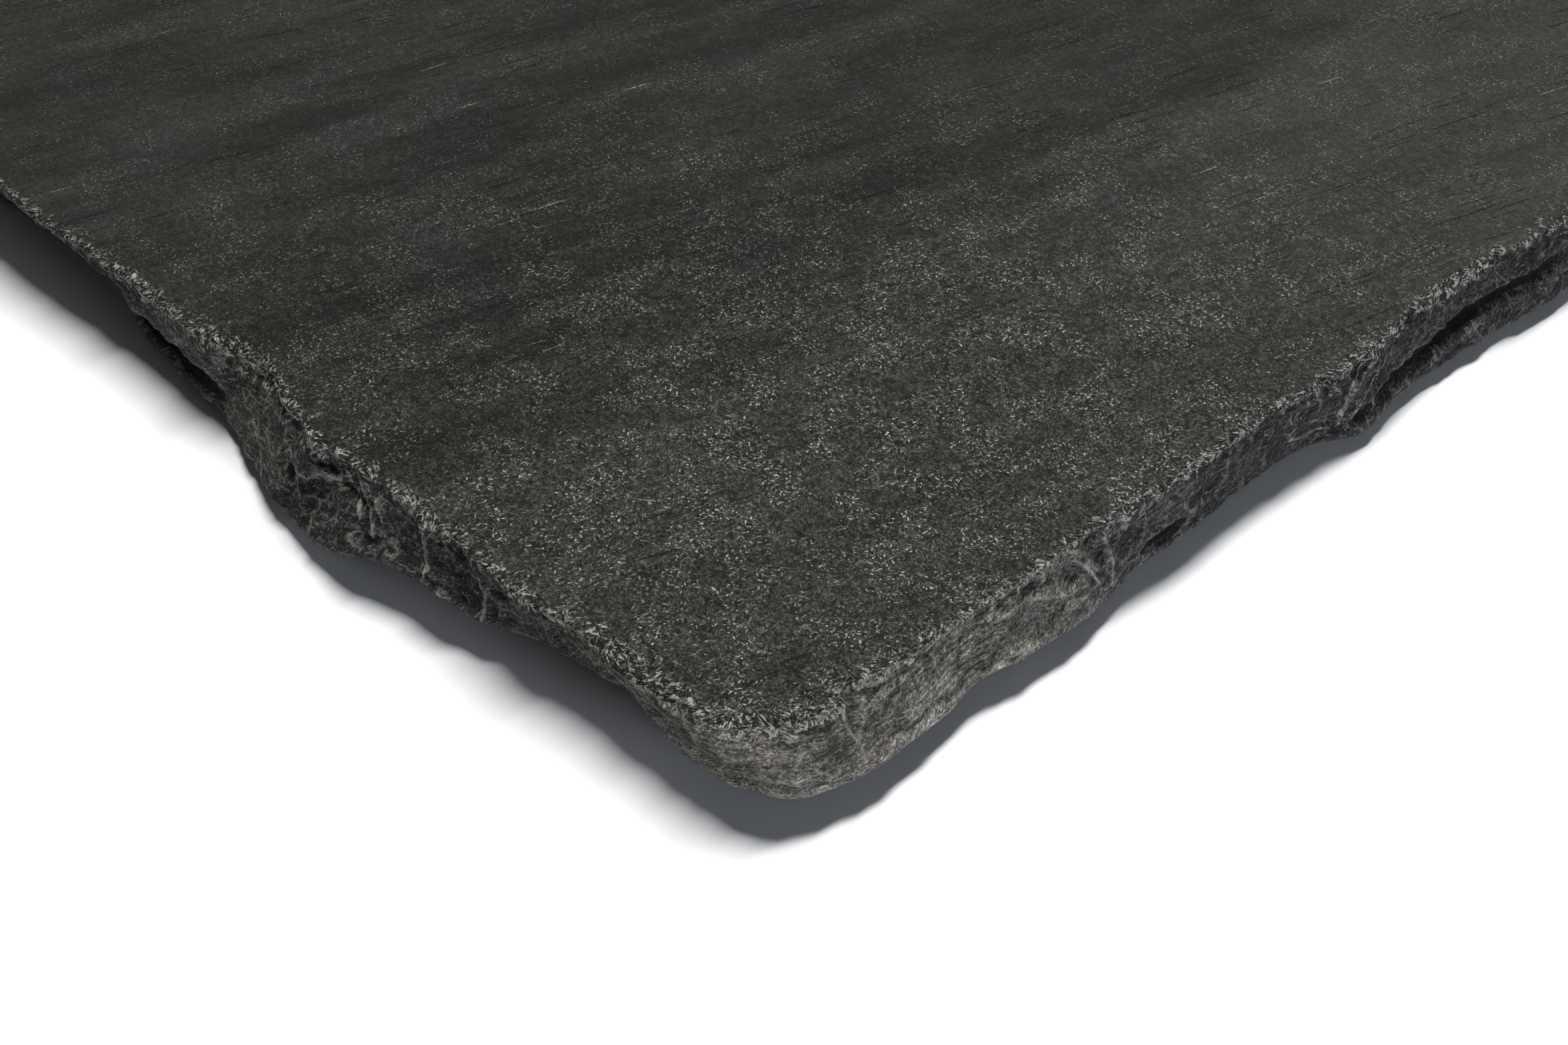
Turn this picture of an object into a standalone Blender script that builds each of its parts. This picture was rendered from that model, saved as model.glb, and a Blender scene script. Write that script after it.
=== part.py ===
"""Black limestone paving slab, 600 x 600 x 22 mm: one stone, with a cleft top and hand-dressed sides.

The dressing hammer knocks flakes off each side, so the stone's outline is a chain of shallow hollows
between cusps. One such chain runs round the top edge, the arris, and a second, rougher one round the foot
of the sides. The sides lean out towards the foot, which stands a few millimetres off the ground, as the
stone has spalled away under it. The rest of the underside is flat. Units are metres, +Z is up, and the
origin is the middle of the underside. A place on the sides is given by how far along it is from the front
corner, at +X -Y: plus is counter-clockwise, up the right side, and minus is clockwise, along the left
side, so that both come to twice the side at the back corner.
"""

import bisect
import math
import random

import bmesh
import bpy
from mathutils import Vector, noise

MM = 0.001

# Driving dimensions.
SIDE = 600 * MM
THICKNESS = 22 * MM
CORNER_RADIUS = 16 * MM
HALF = SIDE / 2
BACK = SIDE * 2

# How the plain block is cut: cells across the top, rings of faces from them to the arris, levels down the
# sides, rings of faces under them, and the columns of faces on the sides for each cell of the top.
TOP_CELLS = 14
TOP_RINGS = (24 * MM, 8 * MM, 0.0)
SIDE_LEVELS = tuple(level * MM for level in (20.6, 17.4, 14.2, 11.0, 7.8, 4.6, 1.8, 0.0))
UNDER_RINGS = (5 * MM, 16 * MM)
NEAR_COLUMNS = 8
FAR_COLUMNS = 5

# The cleft top.
TOP_SWELL = 0.45 * MM
TOP_SWELL_LENGTH = 150 * MM
LAMINA = 0.175 * MM
LAMINA_LENGTH = 95 * MM
LAMINA_STRETCH = 3.2
LAMINAE = 3
CLEFT_DIRECTION = math.radians(75)

# The broken sides.
FLAKE_SIZE = 13 * MM
FLAKE_DEPTH = 2.4 * MM
FLAKE_SHARPNESS = 9.0
SCAR_CURVE = 1.5
UNDERCUT_EASE = 0.7
FOOT_BREAK = 1.1 * MM
EASING = (-5 * MM, -3 * MM, -1 * MM, 1 * MM, 3 * MM, 5 * MM)

# The cusps, in millimetres: along, how far the cusp stands inside the nominal outline, and how deep the
# hollow is between this cusp and the next one.
ARRIS_CUSPS = (
    (-300, 0.0, 0.8), (-262, -0.2, 0.5), (-223, 1.7, 0.0), (-193, 0.6, 4.4), (-160, 0.0, 0.0),
    (-141, -3.5, 2.4), (-69, -4.7, 2.9), (-38, -4.7, 0.6), (-15, -1.4, 0.0), (0, 2.6, 0.0), (15, 0.7, 0.0),
    (20, -0.2, 2.4), (36, 0.3, 0.0), (50, -0.3, 0.8), (84, -0.1, 1.4), (107, 0.0, 0.0), (120, -1.4, 0.3),
    (134, -1.5, 0.2), (156, 0.1, 0.0), (195, -1.0, 0.7), (212, 1.2, 3.0), (265, 0.0, 0.5), (300, 0.0, 1.2),
)
FOOT_CUSPS = (
    (-300, 15.5, 0.5), (-252, 15.0, 0.5), (-240, 10.0, 0.0), (-228, 5.0, 0.4), (-186, 0.4, 0.0),
    (-165, -6.6, -0.6), (-134, -12.3, 0.0), (-120, -4.4, 0.0), (-112, -3.0, 0.0), (-90, -1.8, 6.2),
    (-30, 4.2, 0.0), (-20, 3.6, 0.0), (0, 4.6, 0.0), (15, -0.9, -0.6), (31, -4.5, 0.0), (56, -3.4, 0.6),
    (67, -0.5, -0.6), (92, -3.3, 0.0), (104, -2.7, 0.6), (117, 1.0, 0.4), (145, 1.4, 0.5), (163, 2.9, 0.6),
    (187, 1.2, 0.0), (190, -4.0, 0.0), (198, -4.4, 0.4), (212, -1.2, 0.3), (240, -0.8, 0.0), (278, -3.8, 3.5),
)

# Shell-shaped scars, in millimetres: along, height, half length, half height, depth.
SCARS = (
    (-139.5, 9.8, 7.4, 5.2, 1.7), (-114, 12, 8.5, 10, 1.3), (-95.5, 11, 9.5, 11, 1.7),
    (27.4, 16.5, 2.4, 7.0, 1.9), (94.5, 13.6, 5.2, 4.4, 1.5), (113.6, 13.0, 5.8, 5.4, 1.6),
    (128, 5.0, 10, 3.2, 1.9), (140, 13, 8, 6, 1.0), (195, 5.3, 5.6, 2.6, 2.4),
)

# Splits along the bedding, in millimetres: start and its height, end and its height, half the width, depth.
SPLITS = ((197, 5.2, 282, 11.2, 3.2, 4.2), (-345, 6.4, -185, 5.4, 4.4, 7.5), (118, 4.0, 150, 4.4, 2.6, 1.3))

# How high the foot of the side stands over the underside, in millimetres: along, and the height.
FOOT_HEIGHTS = (
    (-300, 2.0), (-262, 1.6), (-230, 1.5), (-205, 1.8), (-185, 2.2), (-172, 2.2), (-155, 3.8), (-140, 4.5),
    (-134, 5.5), (-127, 9.0), (-120, 10.5), (-108, 10.5), (-98, 9.5), (-85, 8.0), (-60, 7.0), (-30, 7.0),
    (-10, 10.0), (0, 11.0), (10, 8.0), (20, 7.2), (35, 6.9), (50, 6.0), (60, 5.9), (70, 6.8), (82, 6.0),
    (92, 6.2), (103, 4.5), (115, 3.0), (140, 2.0), (180, 2.5), (230, 3.0), (300, 3.0),
)

# The hidden sides' feet stand about this high, and go up and down by up to so much.
HIDDEN_FOOT = 4.2 * MM
HIDDEN_FOOT_SWELL = 6.0 * MM
HIDDEN_FOOT_LENGTH = 60 * MM

# The breaks of the front sides lean out towards this point, and those of the hidden sides straight out by
# this much for each unit of height.
LEAN_POINT = Vector((0.6116, -0.5887, 0.4395))
HIDDEN_LEAN = 0.68

# Where the top has spalled at the arris, in millimetres: along, half length, reach inwards, drop.
SPALLS = (
    (0, 19, 15, 2.6), (-34, 22, 9, 2.6), (-178, 24, 9, 1.7), (-215, 20, 7, 1.0), (24, 6, 6, 1.1),
    (238, 22, 5, 0.8),
)

# What the lists leave out: the stretches of the sides with random scars and splits, and how many each has.
HIDDEN_STRETCHES = ((-1200, -320), (320, 1200))
HIDDEN_SCARS = 46
HIDDEN_SPLITS = 11
SEED = 7

STONE_COLOUR = (0.055, 0.053, 0.048, 1.0)
STONE_ROUGHNESS = 0.62


def in_metres(rows):
    return [tuple(value * MM for value in row) for row in rows]


def smooth(low, high, value):
    """0 up to low, 1 from high on, with an even S between."""
    share = max(0.0, min(1.0, (value - low) / (high - low)))
    return share * share * (3 - 2 * share)


def knocked_cusps(seed, start, end, pitch, proud, deep):
    """Cusps every pitch millimetres or so, standing proud by up to that much, with hollows up to deep."""
    chance = random.Random(seed)
    cusps = []
    at = start
    while at < end:
        cusps.append((at, -chance.uniform(*proud), chance.uniform(*deep) * chance.uniform(0.35, 1.0)))
        at += chance.uniform(*pitch)
    return cusps


def closed_chain(known, seed, pitch, proud, deep):
    """The known cusps, and random ones on both sides of them round to the back corner."""
    back = BACK / MM
    start, end = known[0][0], known[-1][0]
    before = knocked_cusps(seed, 1 - back, start - pitch[0], pitch, proud, deep)
    after = knocked_cusps(seed + 1, end + pitch[0], back - pitch[0], pitch, proud, deep)
    corner = before[0][1]
    return in_metres([(-back, corner, 0.0)] + before + list(known) + after + [(back, corner, 0.0)])


def random_scar(chance, stretch):
    half_length = chance.uniform(3, 11)
    half_height = min(10, half_length * chance.uniform(0.5, 1.0))
    depth = chance.uniform(0.7, 1.9)
    return chance.uniform(*stretch), chance.uniform(4, THICKNESS / MM - 3), half_length, half_height, depth


def random_split(chance, stretch):
    start = chance.uniform(*stretch)
    height = chance.uniform(4, THICKNESS / MM - 4)
    end = start + chance.uniform(20, 80)
    end_height = height + chance.uniform(-3, 3)
    return start, height, end, end_height, chance.uniform(1.2, 3.2), chance.uniform(0.8, 4)


CHANCE = random.Random(SEED)
ARRIS = closed_chain(ARRIS_CUSPS, 11, (16, 52), (-1.2, 3.0), (0.4, 4.5))
FOOT = closed_chain(FOOT_CUSPS, 29, (18, 60), (-1.0, 8.5), (1.5, 11.0))
ALL_SCARS = in_metres(SCARS) + in_metres(
    random_scar(CHANCE, stretch) for stretch in HIDDEN_STRETCHES for _ in range(HIDDEN_SCARS)
)
ALL_SPLITS = in_metres(SPLITS) + in_metres(
    random_split(CHANCE, stretch) for stretch in HIDDEN_STRETCHES for _ in range(HIDDEN_SPLITS)
)


def inward(chain, along):
    """How far inside the nominal outline a chain of hollows stands at a place along it."""
    place = min(bisect.bisect_right(chain, (along, math.inf)), len(chain) - 1) - 1
    start, here, hollow = chain[place]
    end, there, _ = chain[place + 1]
    share = (along - start) / (end - start)
    return here + (there - here) * share + 4 * hollow * share * (1 - share)


def eased(chain, along):
    """The same with its corners eased over a few millimetres."""
    nearby = [max(-BACK, min(BACK, along + step)) for step in EASING]
    return sum(inward(chain, place) for place in nearby) / len(nearby)


def distance_along(x, y):
    """How far along the sides a point on the nominal square is from the front corner."""
    if abs(x) >= abs(y):
        return HALF + y if x > 0 else -3 * HALF - y
    return 3 * HALF - x if y > 0 else x - HALF


def rounded_outline(x, y):
    """Where a point of the nominal square moves to on the rounded outline, and the way outwards."""
    core = HALF - CORNER_RADIUS
    middle = Vector((max(-core, min(core, x)), max(-core, min(core, y)), 0.0))
    outwards = (Vector((x, y, 0.0)) - middle).normalized()
    return middle + outwards * CORNER_RADIUS, outwards


def flakes(spot):
    """The depth of tilted planes that meet at ridges, as struck stone breaks."""
    place = spot / FLAKE_SIZE
    distances, middles = noise.voronoi(place)
    depth = weights = 0.0
    for distance, middle in zip(distances, middles):
        weight = math.exp(-FLAKE_SHARPNESS * (distance - distances[0]))
        tilt = noise.cell_vector(middle * 43.7)
        depth += weight * ((place - middle).dot(tilt - Vector((0.5, 0.5, 0.5))) + 0.5 * (tilt.x - 0.5))
        weights += weight
    return FLAKE_DEPTH * depth / weights


def scar_depth(along, height):
    """How deep the deepest of the shell-shaped scars is at a place on the side."""
    deepest = 0.0
    for middle, level, half_length, half_height, depth in ALL_SCARS:
        gone = math.hypot((along - middle) / half_length, (height - level) / half_height)
        deepest = max(deepest, depth * (1 - gone * gone))
    return deepest


def split_depth(along, height):
    """How deep the splits along the bedding cut into the side at a place."""
    deepest = 0.0
    for start, start_height, end, end_height, half_width, depth in ALL_SPLITS:
        share = (along - start) / (end - start)
        above = abs(height - start_height - (end_height - start_height) * share) / half_width
        if 0 < share < 1 and above < 1:
            deepest = max(deepest, depth * (1 - (2 * share - 1) ** 4) * (1 - above**2))
    return deepest


def foot_height(along, spot):
    """How high the foot of the side stands over the underside."""
    place = max(1, min(len(FOOT_HEIGHTS) - 1, bisect.bisect_right(FOOT_HEIGHTS, (along / MM, math.inf))))
    (start, here), (end, there) = FOOT_HEIGHTS[place - 1], FOOT_HEIGHTS[place]
    share = max(0.0, min(1.0, (along / MM - start) / (end - start)))
    known = (here + (there - here) * share) * MM
    swell = noise.noise(Vector((spot.x, spot.y, 0.0)) / HIDDEN_FOOT_LENGTH)
    hidden = max(0.8 * MM, min(9 * MM, HIDDEN_FOOT + HIDDEN_FOOT_SWELL * swell))
    return known + (hidden - known) * smooth(300 * MM, 330 * MM, abs(along))


def lean(along, spot, outwards):
    """Which way the break of the side runs for each unit of height."""
    to_point = (LEAN_POINT - Vector((spot.x, spot.y, 0.0))) / LEAN_POINT.z
    straight_out = outwards * HIDDEN_LEAN + Vector((0.0, 0.0, 1.0))
    return to_point.lerp(straight_out, smooth(300 * MM, 420 * MM, abs(along)))


def side_inset(along, height, spot):
    """How far the dressed side stands in from the nominal outline at a height over the underside."""
    share = height / THICKNESS
    arris, foot = eased(ARRIS, along), eased(FOOT, along)
    undercut = UNDERCUT_EASE * smooth(6 * MM, 12 * MM, foot - arris)
    curve = share ** (SCAR_CURVE - undercut) if foot > arris else 1 - (1 - share) ** SCAR_CURVE
    belly = smooth(0, 2.4 * MM, THICKNESS - height) * smooth(-0.4 * MM, 1.6 * MM, height)
    relief = flakes(spot) + scar_depth(along, height) + split_depth(along, height)
    return foot + (arris - foot) * curve + belly * relief + FOOT_BREAK * (1 - smooth(0, 1.6 * MM, height))


def top_relief(x, y):
    """Height of the cleft face over its mean: a slow swell, and thin laminae that end in low steps."""
    across = x * math.cos(CLEFT_DIRECTION) + y * math.sin(CLEFT_DIRECTION)
    beside = y * math.cos(CLEFT_DIRECTION) - x * math.sin(CLEFT_DIRECTION)
    spot = Vector((across / LAMINA_STRETCH, beside, 0.0)) / LAMINA_LENGTH
    field = LAMINAE * noise.fractal(spot, 0.8, 2.1, 3)
    lamina = math.floor(field)
    swell = TOP_SWELL * noise.noise(Vector((x, y, 0.0)) / TOP_SWELL_LENGTH)
    return swell + LAMINA * (lamina + smooth(0, 0.25, field - lamina))


def spall_drop(along, inside):
    """How far the top has spalled away, at a distance inside the arris."""
    drop = 0.0
    for middle, half_length, reach, depth in in_metres(SPALLS):
        beside = abs(along - middle) / half_length
        if beside < 1 and inside < reach:
            drop = max(drop, depth * (1 - beside**2) * (1 - inside / reach) ** 1.4)
    return drop


def dressed(point):
    """Where a point of the plain square block lies on the finished stone."""
    reach = max(abs(point.x), abs(point.y))
    inside = HALF - reach
    share = point.z / THICKNESS
    place = point.copy()
    if inside < TOP_RINGS[0]:
        edge = point * (HALF / reach)
        edge.z = 0.0
        along = distance_along(edge.x, edge.y)
        outline, outwards = rounded_outline(edge.x, edge.y)
        inset = side_inset(along, point.z, outline + Vector((0, 0, point.z)))
        place += (outline - outwards * inset - edge) * (1 - inside / TOP_RINGS[0]) ** 2
        height = foot_height(along, outline)
        lifted = height * (1 - share) * max(0.0, 1 - inside / (4 * MM + 1.1 * height)) ** 1.5
        place += (lifted - share**3 * spall_drop(along, inside)) * lean(along, outline, outwards)
    place.z += share**4 * top_relief(place.x, place.y)
    return place


def extruded(block, ring, spread=1.0, level=None):
    """Extrudes a ring of edges, spreads the new ring or sets its level, and returns its edges."""
    grown = bmesh.ops.extrude_edge_only(block, edges=ring)["geom"]
    verts = [part for part in grown if isinstance(part, bmesh.types.BMVert)]
    bmesh.ops.scale(block, verts=verts, vec=(spread, spread, 1))
    if level is not None:
        for vert in verts:
            vert.co.z = level
    return [part for part in grown if isinstance(part, bmesh.types.BMEdge) and part.is_boundary]


def cut_block():
    """A plain square block: a coarse grid on top, and rings of faces to the arris, down the sides and in."""
    block = bmesh.new()
    rim = HALF - TOP_RINGS[0]
    bmesh.ops.create_grid(block, x_segments=TOP_CELLS, y_segments=TOP_CELLS, size=rim)
    bmesh.ops.translate(block, verts=block.verts, vec=(0, 0, THICKNESS))
    ring = [edge for edge in block.edges if edge.is_boundary]
    near, far = [], []
    for edge in ring:
        middle = (edge.verts[0].co + edge.verts[1].co) / 2
        on_front_side = max(middle.x, -middle.y) > rim - MM
        (near if on_front_side else far).append(edge)
    bmesh.ops.bisect_edges(block, edges=near, cuts=NEAR_COLUMNS - 1)
    bmesh.ops.bisect_edges(block, edges=far, cuts=FAR_COLUMNS - 1)
    ring = [edge for edge in block.edges if edge.is_boundary]
    for outer, inner in zip(TOP_RINGS[1:], TOP_RINGS):
        ring = extruded(block, ring, spread=(HALF - outer) / (HALF - inner))
    for level in SIDE_LEVELS:
        ring = extruded(block, ring, level=level)
    before = 0.0
    for inner in UNDER_RINGS:
        ring = extruded(block, ring, spread=(HALF - inner) / (HALF - before))
        before = inner
    bmesh.ops.contextual_create(block, geom=ring)
    bmesh.ops.recalc_face_normals(block, faces=block.faces)
    return block


def stone_material():
    material = bpy.data.materials.new("black_limestone")
    material.use_nodes = True
    shader = material.node_tree.nodes["Principled BSDF"]
    shader.inputs["Base Color"].default_value = STONE_COLOUR
    shader.inputs["Roughness"].default_value = STONE_ROUGHNESS
    shader.inputs["Metallic"].default_value = 0.0
    material.diffuse_color = STONE_COLOUR
    return material


def make_slab():
    stone = cut_block()
    for vert in stone.verts:
        vert.co = dressed(vert.co)
    bmesh.ops.triangulate(stone, faces=stone.faces)
    mesh = bpy.data.meshes.new("slab")
    stone.to_mesh(mesh)
    stone.free()
    slab = bpy.data.objects.new("slab", mesh)
    mesh.materials.append(stone_material())
    return slab


def main():
    for leftover in list(bpy.data.objects):
        bpy.data.objects.remove(leftover)
    collection = bpy.data.collections.new("limestone_slab")
    bpy.context.scene.collection.children.link(collection)
    collection.objects.link(make_slab())


main()
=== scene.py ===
"""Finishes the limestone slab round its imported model: the cleft top, the hand-dressed edges, the stone's colour and
grain, and the stage that it is shown on. Positions are in metres in the model's own frame, +Z up, with the origin at
the middle of the underside.
"""

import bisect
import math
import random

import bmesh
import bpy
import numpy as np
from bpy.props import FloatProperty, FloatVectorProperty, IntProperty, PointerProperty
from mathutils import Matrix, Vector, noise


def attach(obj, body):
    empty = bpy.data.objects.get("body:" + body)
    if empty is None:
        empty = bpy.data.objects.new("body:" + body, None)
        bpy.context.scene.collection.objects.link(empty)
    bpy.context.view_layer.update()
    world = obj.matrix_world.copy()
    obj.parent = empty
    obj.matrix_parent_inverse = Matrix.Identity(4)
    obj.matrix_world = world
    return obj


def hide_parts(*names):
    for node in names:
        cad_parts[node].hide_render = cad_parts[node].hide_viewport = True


bl_info = {
    "name": "Dressed Limestone Slab",
    "version": (1, 0, 0),
    "blender": (4, 5, 0),
    "location": "View3D > Sidebar > Stone",
    "description": "Shapes and finishes a hand-dressed black limestone paving slab",
    "category": "Add Mesh",
}

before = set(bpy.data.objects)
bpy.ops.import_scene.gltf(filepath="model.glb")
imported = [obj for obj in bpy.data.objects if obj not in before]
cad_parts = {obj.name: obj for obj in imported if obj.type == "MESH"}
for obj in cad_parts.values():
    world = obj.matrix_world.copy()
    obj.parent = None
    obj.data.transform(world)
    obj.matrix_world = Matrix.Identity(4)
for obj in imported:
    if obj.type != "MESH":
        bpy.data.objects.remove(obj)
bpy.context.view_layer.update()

MM = 0.001

# Sizes and tables are in millimetres from here to the stage's.

# The two chains of cusps round the stone: how far along from the front corner (plus is counter-clockwise, up the right
# side; minus is clockwise, along the left side), how far the cusp stands inside the nominal outline, and how deep the
# hollow between this cusp and the next one is.
ARRIS_CUSPS = (
    (-300, 0.0, 0.8), (-262, -0.2, 0.5), (-223, 1.7, 0.0), (-193, 0.6, 4.4), (-160, 0.0, 0.0), (-141, -3.5, 2.4),
    (-69, -4.7, 2.9), (-38, -4.7, 0.6), (-15, -1.4, 0.0), (0, 2.6, 0.0), (15, 0.7, 0.0), (20, -0.2, 2.4),
    (36, 0.3, 0.0), (50, -0.3, 0.8), (84, -0.1, 1.4), (107, 0.0, 0.0), (120, -1.4, 0.3), (134, -1.5, 0.2),
    (156, 0.1, 0.0), (195, -1.0, 0.7), (212, 1.2, 3.0), (265, 0.0, 0.5), (300, 0.0, 1.2),
)
FOOT_CUSPS = (
    (-300, 15.5, 0.5), (-252, 15.0, 0.5), (-240, 10.0, 0.0), (-228, 5.0, 0.4), (-186, 0.4, 0.0), (-165, -6.6, -0.6),
    (-134, -12.3, 0.0), (-120, -4.4, 0.0), (-112, -3.0, 0.0), (-90, -1.8, 6.2), (-30, 4.2, 0.0), (-20, 3.6, 0.0),
    (0, 4.6, 0.0), (15, -0.9, -0.6), (31, -4.5, 0.0), (56, -3.4, 0.6), (67, -0.5, -0.6), (92, -3.3, 0.0),
    (104, -2.7, 0.6), (117, 1.0, 0.4), (145, 1.4, 0.5), (163, 2.9, 0.6), (187, 1.2, 0.0), (190, -4.0, 0.0),
    (198, -4.4, 0.4), (212, -1.2, 0.3), (240, -0.8, 0.0), (278, -3.8, 3.5),
)

# Shell-shaped scars: along, height over the underside, half length, half height, depth.
SCARS = (
    (-139.5, 9.8, 7.4, 5.2, 1.7), (-151, 9.4, 2.8, 2.6, 1.1), (-138.5, 17.3, 4.4, 1.7, 1.1),
    (-114, 12, 8.5, 10, 1.3), (-95.5, 11, 9.5, 11, 1.7), (-81.5, 13, 3.2, 2.0, 1.5), (-66.5, 18, 3.0, 1.6, 1.1),
    (-122, 5.0, 6.0, 2.4, 1.0), (-26, 12, 6, 7, 0.7), (27.4, 16.5, 2.4, 7.0, 1.9), (23.5, 20.5, 4.0, 2.2, 1.2),
    (66, 18.8, 4.2, 1.6, 1.0), (80, 18.0, 5.2, 1.8, 1.0), (81, 8.0, 11, 5.0, 0.8), (94.5, 13.6, 5.2, 4.4, 1.5),
    (103.6, 13.5, 2.8, 3.4, 1.1), (113.6, 13.0, 5.8, 5.4, 1.6), (128, 5.0, 10, 3.2, 1.9), (140, 13, 8, 6, 1.0),
    (94, 1.8, 3.6, 0.9, 0.9), (74.7, 2.2, 3.0, 0.9, 0.9), (195, 5.3, 5.6, 2.6, 2.4), (176, 14.5, 5, 3, 0.9),
)

# Ridges left between the flakes: the places along the side and heights that each runs through.
RIDGES = (
    ((-157, 14), (-150, 12.2), (-144, 12.0), (-139, 15.4), (-133, 15.6)),
    ((-130.3, 20.5), (-124.4, 16.4), (-122.1, 10.5), (-123, 6)),
    ((-127.2, 20.8), (-121.6, 16.4), (-119.6, 11.0)),
    ((-133.0, 19.8), (-127.4, 15.0), (-125.8, 10.0)),
    ((-106.8, 21), (-104.6, 16.5), (-105.2, 7.0), (-107, 3)),
    ((-88, 19.5), (-86.2, 17.0), (-85.2, 11.5), (-86.4, 6.0), (-88.2, 1.5)),
    ((94.6, 17.6), (97.6, 14.6), (99.9, 11.6), (102.5, 7.2)),
    ((104.4, 18), (106.2, 13), (107.4, 9.0), (106.8, 3.8)),
    ((71, 14.6), (79.8, 14.8), (86.4, 12.7), (90.5, 10.5)),
    ((199, 18.6), (193.6, 15), (188.8, 12.0), (186.3, 6.0)),
    ((195.5, 20.0), (190.6, 15.5), (186.4, 9.0)),
    ((203, 17.0), (198, 12), (190.4, 8.0)),
    ((172, 7.5), (178, 6.4), (184.5, 5.6)),
)

# Splits along the bedding: where each starts and its height, where it ends and its height, half its width up the
# side, and its depth.
SPLITS = (
    (197, 5.2, 282, 11.2, 2.7, 3.6), (-345, 6.4, -185, 5.4, 4.4, 7.5), (-150, 18.6, -121, 13.4, 1.3, 1.2),
    (-176, 19.0, -148, 20.0, 1.5, 1.6), (-110, 3.4, -92, 3.0, 1.4, 1.0), (-75, 6.5, -40, 4.0, 1.0, 0.7),
    (34, 5.0, 62, 3.6, 1.2, 0.8), (118, 4.0, 150, 4.4, 2.6, 1.3),
)

# How high the foot of the side stands over the underside: along, and the height. The stone has spalled away under it.
FOOT_HEIGHTS = (
    (-300, 2.0), (-262, 1.6), (-230, 1.5), (-205, 1.8), (-185, 2.2), (-172, 2.2), (-155, 3.8), (-140, 4.5),
    (-134, 5.5), (-127, 9.0), (-120, 10.5), (-108, 10.5), (-98, 9.5), (-85, 8.0), (-60, 7.0), (-30, 7.0),
    (-10, 10.0), (0, 11.0), (10, 8.0), (20, 7.2), (35, 6.9), (50, 6.0), (60, 5.9), (70, 6.8), (82, 6.0), (92, 6.2),
    (103, 4.5), (115, 3.0), (140, 2.0), (180, 2.5), (230, 3.0), (300, 3.0),
)

# The breaks of the front sides lean out towards this point, and those of the back sides straight out by this much for
# each millimetre of height.
LEAN_POINT = Vector((611.6, -588.7, 439.5))
BACK_LEAN = 0.68

# Where the top has spalled at its edge: along, half length, reach inwards, drop.
SPALLS = (
    (0, 19, 15, 2.6), (-34, 22, 9, 2.6), (-178, 24, 9, 1.7), (-215, 20, 7, 1.0), (-146, 12, 4, 0.7), (-60, 16, 5, 0.6),
    (-106, 10, 4, 0.5), (24, 6, 6, 1.1), (112, 12, 5, 0.5), (72, 10, 4, 0.5), (188, 16, 4, 0.6), (238, 22, 5, 0.8),
    (-255, 18, 5, 0.7),
)

# How pale the side is along its length, partly because it is freshly broken and partly by painted light that makes the
# faces round the front corner paler, as if more light fell on them: 0 is old and dark, and 2 the palest.
FRESHNESS_AND_PAINTED_LIGHT = (
    (-300, 0.2), (-240, 0.2), (-190, 0.55), (-165, 0.3), (-140, 0.0), (-118, 0.1), (-100, 0.12), (-80, 0.4),
    (-60, 0.65), (-30, 1.05), (-18, 1.7), (0, 1.7), (14, 1.6), (22, 0.9), (30, 1.2), (45, 1.8), (62, 1.85),
    (80, 1.15), (95, 0.9), (115, 0.6), (140, 0.2), (180, 0.2), (230, 0.1), (300, 0.1),
)

# Where the side broke along one even plane, and so is smooth, along its length: 0 is hackly, 1 is smooth.
SMOOTHNESS = (
    (-300, 0.2), (-120, 0.1), (-98, 0.3), (-76, 0.25), (-66, 0.75), (-14, 0.8), (-4, 0.35), (18, 0.2), (60, 0.1),
    (150, 0.3), (205, 0.5), (300, 0.4),
)

# How far from the front corner the tables above run, and from where on the stone is broken at random.
FRONT_REACH = 300
BACK_START = 320.0

# The ridges' width, that of the pale line drawn on them, and that of a scar's rim.
RIDGE_WIDTH = 0.75
RIDGE_LINE_WIDTH = 1.3
RIM_WIDTH = 1.1

# How finely the plain block is cut: rings inwards from the arris on top, levels down the sides, rings inwards
# underneath, cells across the top, and columns of faces for each cell on the front and the back sides.
TOP_RINGS = (24.0, 17.5, 12.5, 8.8, 6.0, 3.9, 2.4, 1.3, 0.5, 0.0)
SIDE_LEVELS = (21.6, 21.0, *(round(20.2 - 0.9 * step, 1) for step in range(20)), 2.2, 1.4, 0.7, 0.0)
UNDER_RINGS = (0.8, 2.2, 4.5, 8.0, 12.0, 16.0)
TOP_CELLS = 112
NEAR_COLUMNS = 8
FAR_COLUMNS = 3

# The cleft face: the way its streaks run, the height of its steps, where painted light makes it paler towards the
# right side, and how far from the front corner its grain stops being bold and is all calm.
CLEFT_DIRECTION = math.radians(75)
STEP_HEIGHT = 0.175
PAINTED_LIGHT_STRIP = (215.0, 265.0)
FRONT_CORNER = (300.0, -300.0, 22.0)
CALM_RANGE = (130, 290)

# Where a chain is read to ease its corners, the finish's zones, and how dark and pale the grain and crushed stone are.
EASING = (-5, -3, -1, 1, 3, 5)
ZONES = ("crushed", "ridge", "pit", "fresh", "smooth")
DARK_GRAIN, PALE_GRAIN = 0.45, 1.75
CRUSHED_TONE = 0.85

# The stage, in metres: what the lights face, where they hang, their sizes and colours, and the room's weak glow.
LIGHTS_FACE = (0.2, -0.2, 0.0)
KEY_LIGHT = {"place": (-2.3, 3.2, 9.0), "size": (2.0, 5.6), "colour": (1.0, 0.99, 0.97)}
FILL_LIGHT = {"place": (2.2, -0.33, 0.3), "size": (0.5, 0.5), "colour": (0.89, 0.96, 1.08)}
FILL_SHARE = 0.011
ROOM_COLOUR = (1.0, 0.99, 0.96, 1.0)
ROOM_GLOW = 0.035


def smooth(low, high, value):
    """0 up to low, 1 from high on, with an even S between."""
    share = max(0.0, min(1.0, (value - low) / (high - low)))
    return share * share * (3 - 2 * share)


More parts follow.
